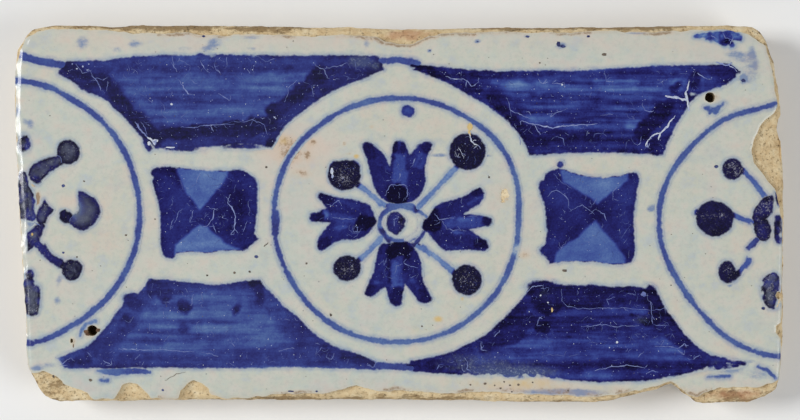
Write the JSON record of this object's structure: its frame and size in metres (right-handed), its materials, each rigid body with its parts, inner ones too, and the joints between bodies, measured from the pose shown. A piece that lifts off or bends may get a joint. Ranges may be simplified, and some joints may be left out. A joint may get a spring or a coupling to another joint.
{
  "type": "border tile",
  "caption": "Oblong tin-glazed earthenware border tile, painted in cobalt blue with a tulip rosette, half rosettes at the ends, squares and corner fields.",
  "frame": {"origin": "middle of the flat back face, where the tile rests or is bedded", "axes": "+X along the tile towards the end with the upper nail hole, +Y across it towards the long side with the broken middle, +Z out of the painted face"},
  "size_m": [0.1304, 0.064, 0.0104],
  "materials": {
    "clay": "unglazed fired clay, buff with darker knife-cut edges and broken places",
    "tin_glaze": "glossy opaque tin glaze, warm to bluish white, with pinholes, specks and fine scratches",
    "cobalt_wash": "glossy mid-blue brushed wash sunk in the glaze, streaky and finely crazed",
    "cobalt_line": "glossy mid-blue brush line, darker where the brush paused",
    "cobalt_dark": "glossy dark indigo to near-black second coat, with fine pale scratches"
  },
  "bodies": {
    "root": {"berry_north_east": "cobalt_dark", "berry_north_west": "cobalt_dark", "berry_south_east": "cobalt_dark", "berry_south_west": "cobalt_dark", "clay_body": "clay", "corner_smear": "cobalt_wash", "field_bottom_left": "cobalt_wash", "field_bottom_left_shade": "cobalt_dark", "field_bottom_right": "cobalt_wash", "field_bottom_right_shade": "cobalt_dark", "field_top_left": "cobalt_wash", "field_top_left_shade": "cobalt_dark", "field_top_right": "cobalt_wash", "field_top_right_shade": "cobalt_dark", "fleck_above_rosette": "cobalt_line", "fleck_above_square": "cobalt_dark", "left_bar": "cobalt_dark", "left_berry_lower": "cobalt_dark", "left_berry_upper": "cobalt_dark", "left_crescent": "cobalt_dark", "left_edge_fleck": "cobalt_dark", "left_edge_leaf_lower": "cobalt_dark", "left_edge_leaf_upper": "cobalt_dark", "left_heart": "cobalt_dark", "left_leaf": "cobalt_dark", "left_seed": "cobalt_dark", "nail_mark_lower": "cobalt_line", "nail_mark_upper": "cobalt_line", "right_berry_lower": "cobalt_dark", "right_berry_middle": "cobalt_dark", "right_berry_upper": "cobalt_dark", "right_edge_leaf_lower": "cobalt_dark", "right_edge_leaf_middle": "cobalt_dark", "right_petal": "cobalt_dark", "right_stroke": "cobalt_line", "ring_centre": "cobalt_line", "ring_left": "cobalt_line", "ring_right": "cobalt_line", "rosette_eye": "cobalt_dark", "rosette_hub": "cobalt_line", "square_left": "cobalt_wash", "square_left_shade": "cobalt_dark", "square_right": "cobalt_wash", "square_right_shade": "cobalt_dark", "stray_stroke": "cobalt_line", "tie_bottom": "cobalt_line", "tie_top": "cobalt_line", "tie_top_left": "cobalt_line", "tin_glaze": "tin_glaze", "tulip_east": "cobalt_dark", "tulip_north": "cobalt_dark", "tulip_south": "cobalt_dark", "tulip_west": "cobalt_dark"}
  },
  "joints": []
}
